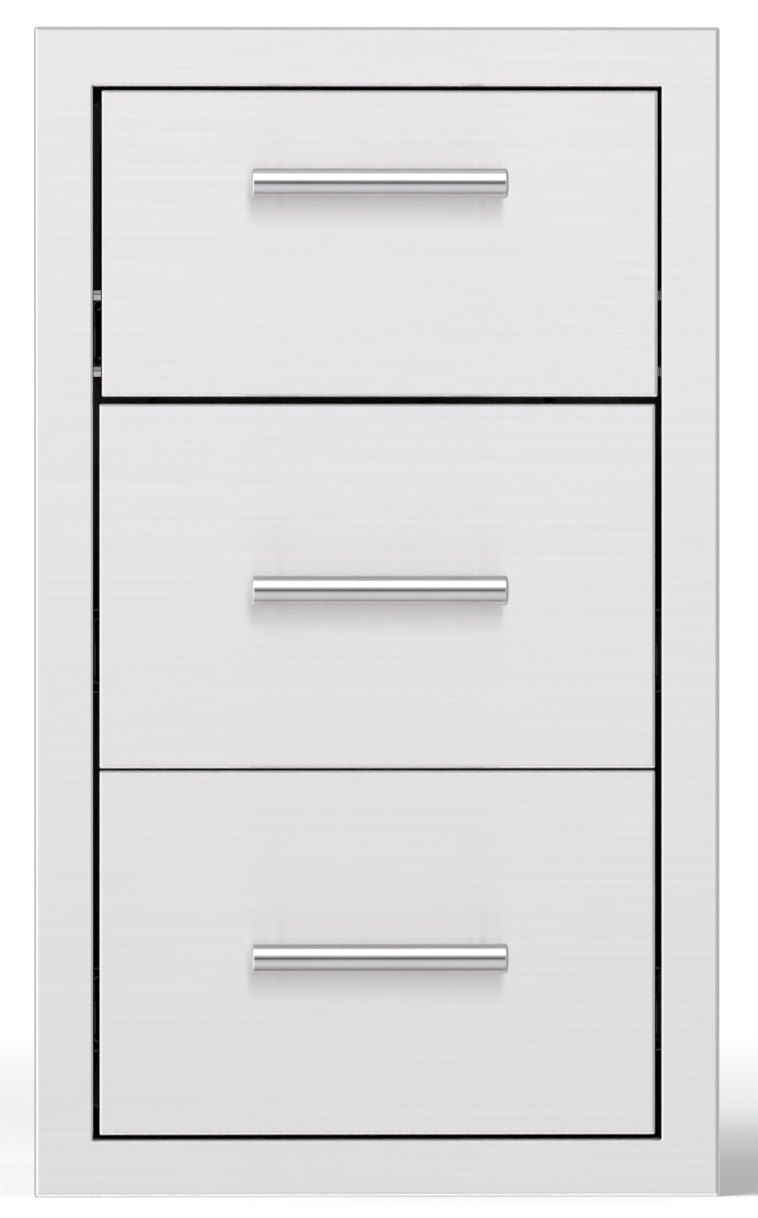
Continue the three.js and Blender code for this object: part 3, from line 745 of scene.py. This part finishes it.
def handle_bar(drawer):
    """A straight bar with crowned ends: radius R cos^f t, rise = depth * sin^f t."""
    low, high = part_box(f"{drawer}_handle_bar")
    radius, half = (high.z - low.z) / 2, (high.x - low.x) / 2
    end_depth = 0.0028
    end = np.array(dome(radius, end_depth, half - end_depth, steps=20, fullness=0.62))
    rings = lathe(np.concatenate([end[::-1] * (1, -1), end]), sides=96)[..., [2, 0, 1]]
    return mesh_of(f"{drawer}_bar", *skin(rings + np.array((low + high) / 2)))


def handle_post(drawer, hand):
    """A round post along Y, coped to the bar and bored for its screw.

    Over the cope, depth = bar axis + sqrt(seat^2 - z^2) at each point's own height z from the axis.
    """
    bar_low, bar_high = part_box(f"{drawer}_handle_bar")
    low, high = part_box(f"{drawer}_handle_post_{hand}")
    axis_y, axis_z = (bar_low.y + bar_high.y) / 2, (bar_low.z + bar_high.z) / 2
    clearance, chamfer, bore, bore_depth = 0.0001, 0.0006, screw_hole / 2, 0.0149
    seat = (bar_high.z - bar_low.z) / 2 + clearance
    radius, tip = (high.x - low.x) / 2, bore * 0.05
    cope = radius * np.array([0.02, 0.3, 0.55, 0.75, 0.9, 1.0])
    foot = [(radius, -chamfer), (radius - chamfer, 0), (bore, 0), (bore, -bore_depth), (tip, -bore_depth)]
    angle = np.linspace(0, 2 * np.pi, 64, endpoint=False)
    ring_radius = np.concatenate([cope, [across for across, _ in foot]])
    x = ring_radius[:, None] * np.cos(angle)
    z = ring_radius[:, None] * np.sin(angle)
    y = np.empty_like(x)
    y[:len(cope)] = axis_y + np.sqrt(seat ** 2 - z[:len(cope)] ** 2)
    y[len(cope):] = high.y + np.array([depth for _, depth in foot])[:, None]
    return mesh_of(f"{drawer}_post", *skin(np.stack([x + (low.x + high.x) / 2, y, z + axis_z], -1)))


def handle_screws(drawer):
    """Two screws with cross recesses and ring-cut threads: the radius swings between crest and root."""
    low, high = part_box(f"{drawer}_handle_screw_left")
    head_radius, head_rise, crest, root, pitch = (high.x - low.x) / 2, 0.003, 0.0025, 0.0021, 0.0008
    threaded_share, tip_middle, tip_edge = 0.6, root * 0.1, root * 0.8
    seat = high.y - head_rise
    turns = int((seat - low.y) * threaded_share / pitch)
    height = low.y + pitch * (1 + np.arange(2 * turns) / 2)
    thread = np.stack([np.where(np.arange(2 * turns) % 2, crest, root), height], 1)
    profile = [(tip_middle, low.y), (tip_edge, low.y), *thread, (crest, height[-1] + pitch), (crest, seat)]
    profile += dome(head_radius, head_rise, seat)
    points, faces = cross_screw(profile, high.y, reach=0.0052, width=0.0011, depth=0.0017)
    places = [(x, 0, z) for x, z in screw_places(drawer)]
    return mesh_of(f"{drawer}_screws", *copies((points[:, [0, 2, 1]], faces), places))


def polished_steel(name, colour, roughness):
    """Polished stainless: hair lines round the turned shape, as noise across X, shift the gloss a little."""
    material = bpy.data.materials.new(name)
    material.use_nodes = True
    tree = material.node_tree
    shader = tree.nodes["Principled BSDF"]
    swing = 0.04
    lines = noise(tree, (0.00015, 0.02, 0.02), 2.0)
    wipe = noise(tree, (0.03, 0.01, 0.01), 2.0)
    shade = blend_colours(tree, wipe, times(colour, 0.97), times(colour, 1.03))
    rough = calc(tree, "MULTIPLY_ADD", lines, swing, roughness - swing)
    rough = calc(tree, "MULTIPLY_ADD", wipe, swing, rough)
    bump = add_node(tree, "ShaderNodeBump", Strength=1.0, Distance=4e-7, Height=lines)
    along = add_node(tree, "ShaderNodeCombineXYZ", X=1.0)
    shader.inputs["Metallic"].default_value = 1.0
    shader.inputs["Anisotropic"].default_value = 0.6
    tree.links.new(shade, shader.inputs["Base Color"])
    tree.links.new(rough, shader.inputs["Roughness"])
    tree.links.new(bump.outputs[0], shader.inputs["Normal"])
    tree.links.new(along.outputs[0], shader.inputs["Tangent"])
    return material


handle_steel = polished_steel("handle_steel", (0.72, 0.712, 0.725), 0.16)
for drawer in ("upper", "middle", "lower"):
    body = f"{drawer}_drawer"
    bar = f"{drawer}_handle_bar"
    place(f"{bar}_domed", handle_bar(drawer), handle_steel, body, "handle_stainless", bar)
    for hand in ("left", "right"):
        post = f"{drawer}_handle_post_{hand}"
        place(f"{post}_coped", handle_post(drawer, hand), handle_steel, body, "handle_stainless", post)
    screws = [f"{drawer}_handle_screw_{hand}" for hand in ("left", "right")]
    place(f"{drawer}_handle_screws", handle_screws(drawer), screw_steel, body, "screw_stainless", *screws)

# Studio
# White cloth round the unit with a dark gap level with the lens, and a pale floor, on which a soft lamp up to
# the left lays the unit's faint shadow. Three far lamps light only the brushed sheets or only the handles.


def pale_floor():
    """A disc that keeps the unit's shadow near it and fades to the surround's plain white further out."""
    reach, near, far = 30.0, 0.8, 2.4
    sides, level = 96, -0.0002
    angle = np.linspace(0, 2 * np.pi, sides, endpoint=False)
    rim = np.stack([reach * np.cos(angle), reach * np.sin(angle), np.full(sides, level)], 1)
    mesh = bpy.data.meshes.new("floor")
    mesh.from_pydata(rim, [], [list(range(sides))])
    material = bpy.data.materials.new("pale_floor")
    material.use_nodes = True
    tree = material.node_tree
    shader = tree.nodes["Principled BSDF"]
    shader.inputs["Base Color"].default_value = (0.92, 0.92, 0.92, 1.0)
    shader.inputs["Roughness"].default_value = 0.9
    shader.inputs["Specular IOR Level"].default_value = 0.0
    where = add_node(tree, "ShaderNodeTexCoord").outputs["Object"]
    away = add_node(tree, "ShaderNodeVectorMath")
    away.operation = "LENGTH"
    tree.links.new(where, away.inputs[0])
    fade = add_node(tree, "ShaderNodeMapRange", Value=away.outputs["Value"], From_Min=near, From_Max=far)
    seen = add_node(tree, "ShaderNodeLightPath").outputs["Is Camera Ray"]
    white = add_node(tree, "ShaderNodeEmission", Strength=1.0)
    mix = add_node(tree, "ShaderNodeMixShader")
    tree.links.new(calc(tree, "MULTIPLY", fade.outputs[0], seen), mix.inputs[0])
    tree.links.new(shader.outputs[0], mix.inputs[1])
    tree.links.new(white.outputs[0], mix.inputs[2])
    tree.links.new(mix.outputs[0], tree.nodes["Material Output"].inputs["Surface"])
    mesh.materials.append(material)
    floor = bpy.data.objects.new("floor", mesh)
    floor.visible_glossy = False
    floor.visible_shadow = False
    bpy.context.scene.collection.objects.link(floor)


def brightness(tree, angle, stops):
    """Brightness along a circle of directions, from (degrees, level) stops between -180 and 180."""
    top = max(level for _, level in stops)
    ramp = tree.nodes.new("ShaderNodeValToRGB")
    elements = ramp.color_ramp.elements
    elements.remove(elements[1])
    for i, (degrees, level) in enumerate(stops):
        stop = elements[0] if i == 0 else elements.new((degrees + 180) / 360)
        stop.position = (degrees + 180) / 360
        stop.color = [level / top] * 3 + [1.0]
    tree.links.new(calc(tree, "MULTIPLY_ADD", angle, 1 / (2 * np.pi), 0.5), ramp.inputs[0])
    return calc(tree, "MULTIPLY", ramp.outputs[0], top)


def surround():
    """White to the camera. To other rays, a brightness by direction, like cloths hung round the unit.

    Ahead and behind it goes by the angle up from the front, atan2(z, -y). To the left and right it goes by
    the angle round from the front, atan2(x, -y), and |x| blends the two.
    """
    up_stops = [
        (-180, 1.2), (-145, 1.2), (-118, 0.9), (-104, 0.32), (-88, 0.33), (-70, 0.58), (-55, 0.78),
        (-40, 0.84), (-20, 0.77), (-12, 0.58), (-6, 0.33), (-3, 0.11), (3, 0.05), (8, 0.14), (12, 0.34),
        (17, 0.57), (22, 0.78), (28, 0.68), (40, 0.54), (64, 0.54), (80, 0.62), (95, 0.74), (115, 0.66),
        (150, 0.7), (180, 1.2),
    ]
    round_stops = [
        (-180, 0.8), (-140, 0.4), (-98, 0.38), (-90, 1.3), (-76, 1.35), (-62, 1.14), (-14, 1.14), (-7, 0.96),
        (7, 1.0), (13, 0.82), (24, 0.62), (60, 0.56), (90, 0.48), (110, 0.6), (150, 0.8), (180, 0.8),
    ]
    world = bpy.data.worlds.new("surround")
    bpy.context.scene.world = world
    world.use_nodes = True
    tree = world.node_tree
    way = add_node(tree, "ShaderNodeTexCoord").outputs["Generated"]
    parts = add_node(tree, "ShaderNodeSeparateXYZ", Vector=way).outputs
    ahead = calc(tree, "MULTIPLY", parts["Y"], -1.0)
    up = brightness(tree, calc(tree, "ARCTAN2", parts["Z"], ahead), up_stops)
    aside = brightness(tree, calc(tree, "ARCTAN2", parts["X"], ahead), round_stops)
    sideways = calc(tree, "ABSOLUTE", parts["X"])
    turn = add_node(tree, "ShaderNodeMapRange", Value=sideways, From_Min=0.12, From_Max=0.22)
    turn.interpolation_type = "SMOOTHSTEP"
    level = calc(tree, "MULTIPLY_ADD", calc(tree, "SUBTRACT", aside, up), turn.outputs[0], up)
    seen = add_node(tree, "ShaderNodeLightPath").outputs["Is Camera Ray"]
    level = calc(tree, "MULTIPLY_ADD", calc(tree, "SUBTRACT", 1.0, level), seen, level)
    background = tree.nodes["Background"]
    tree.links.new(level, background.inputs["Strength"])
    background.inputs["Color"].default_value = (1.0, 1.0, 1.0, 1.0)


def soft_lamp(target):
    """A wide area lamp up to the left, for the shadow on the floor. The steel doesn't mirror its outline."""
    lamp = bpy.data.lights.new("soft_lamp", "AREA")
    lamp.shape = "SQUARE"
    lamp.size = 1.8
    lamp.energy = 54.0
    stand = bpy.data.objects.new("soft_lamp", lamp)
    stand.location = (-1.4, -1.6, 2.3)
    stand.rotation_euler = (target - stand.location).to_track_quat("-Z", "Y").to_euler()
    stand.visible_glossy = False
    bpy.context.scene.collection.objects.link(stand)


def wide_lamp(name, finish, rise, half_angle, width, level):
    """A far soft lamp, straight ahead or above or below, that lights only the pieces in one finish.

    Rise is its angle up from the front, and its height spans twice the half angle, seen from the unit, both
    in degrees. Its level is the brightness that a mirror would show.
    """
    rise, half_angle = np.radians((rise, half_angle))
    distance = 10.0
    height = 2 * distance * np.tan(half_angle)
    lamp = bpy.data.lights.new(name, "AREA")
    lamp.shape = "RECTANGLE"
    lamp.size, lamp.size_y = width, height
    lamp.energy = level * np.pi * width * height
    stand = bpy.data.objects.new(name, lamp)
    stand.location = (0, -distance * np.cos(rise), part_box("face_frame")[1].z / 2 + distance * np.sin(rise))
    stand.rotation_euler = (np.pi / 2 - rise, 0, 0)
    stand.visible_camera = False
    bpy.context.scene.collection.objects.link(stand)
    lit = bpy.data.collections.new(f"lit_by_{name}")
    for piece in bpy.data.objects:
        if piece.type == "MESH" and finish.name in piece.data.materials:
            lit.objects.link(piece)
    stand.light_linking.receiver_collection = lit


def photo_camera():
    """The photograph's view: aim and scale fit the frame's outline, 2 degrees to the left is a guess."""
    azimuth, elevation = np.radians((-2.0, 0.6))
    distance, seen_height = 9.4, 0.7667
    aim_x, aim_z = 0.0010, 0.37024
    aim = Vector((aim_x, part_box("face_frame")[0].y, aim_z))
    run = np.cos(elevation)
    back = Vector((np.sin(azimuth) * run, -np.cos(azimuth) * run, np.sin(elevation)))
    lens = bpy.data.cameras.new("camera")
    lens.sensor_width = 36.0
    lens.lens = lens.sensor_width * distance / seen_height
    camera = bpy.data.objects.new("camera", lens)
    camera.location = aim + back * distance
    camera.rotation_mode = "QUATERNION"
    camera.rotation_quaternion = (-back).to_track_quat("-Z", "Y")
    bpy.context.scene.collection.objects.link(camera)
    bpy.context.scene.camera = camera
    return aim


pale_floor()
surround()
soft_lamp(photo_camera())
wide_lamp("front_lamp", satin_steel, rise=9.6, half_angle=15.8, width=3.3, level=1.15)
wide_lamp("bounce_lamp", satin_steel, rise=-78.0, half_angle=13.0, width=8.0, level=1.4)
wide_lamp("handle_lamp", handle_steel, rise=52.0, half_angle=26.0, width=9.0, level=0.9)
bpy.context.scene.view_settings.view_transform = "Standard"
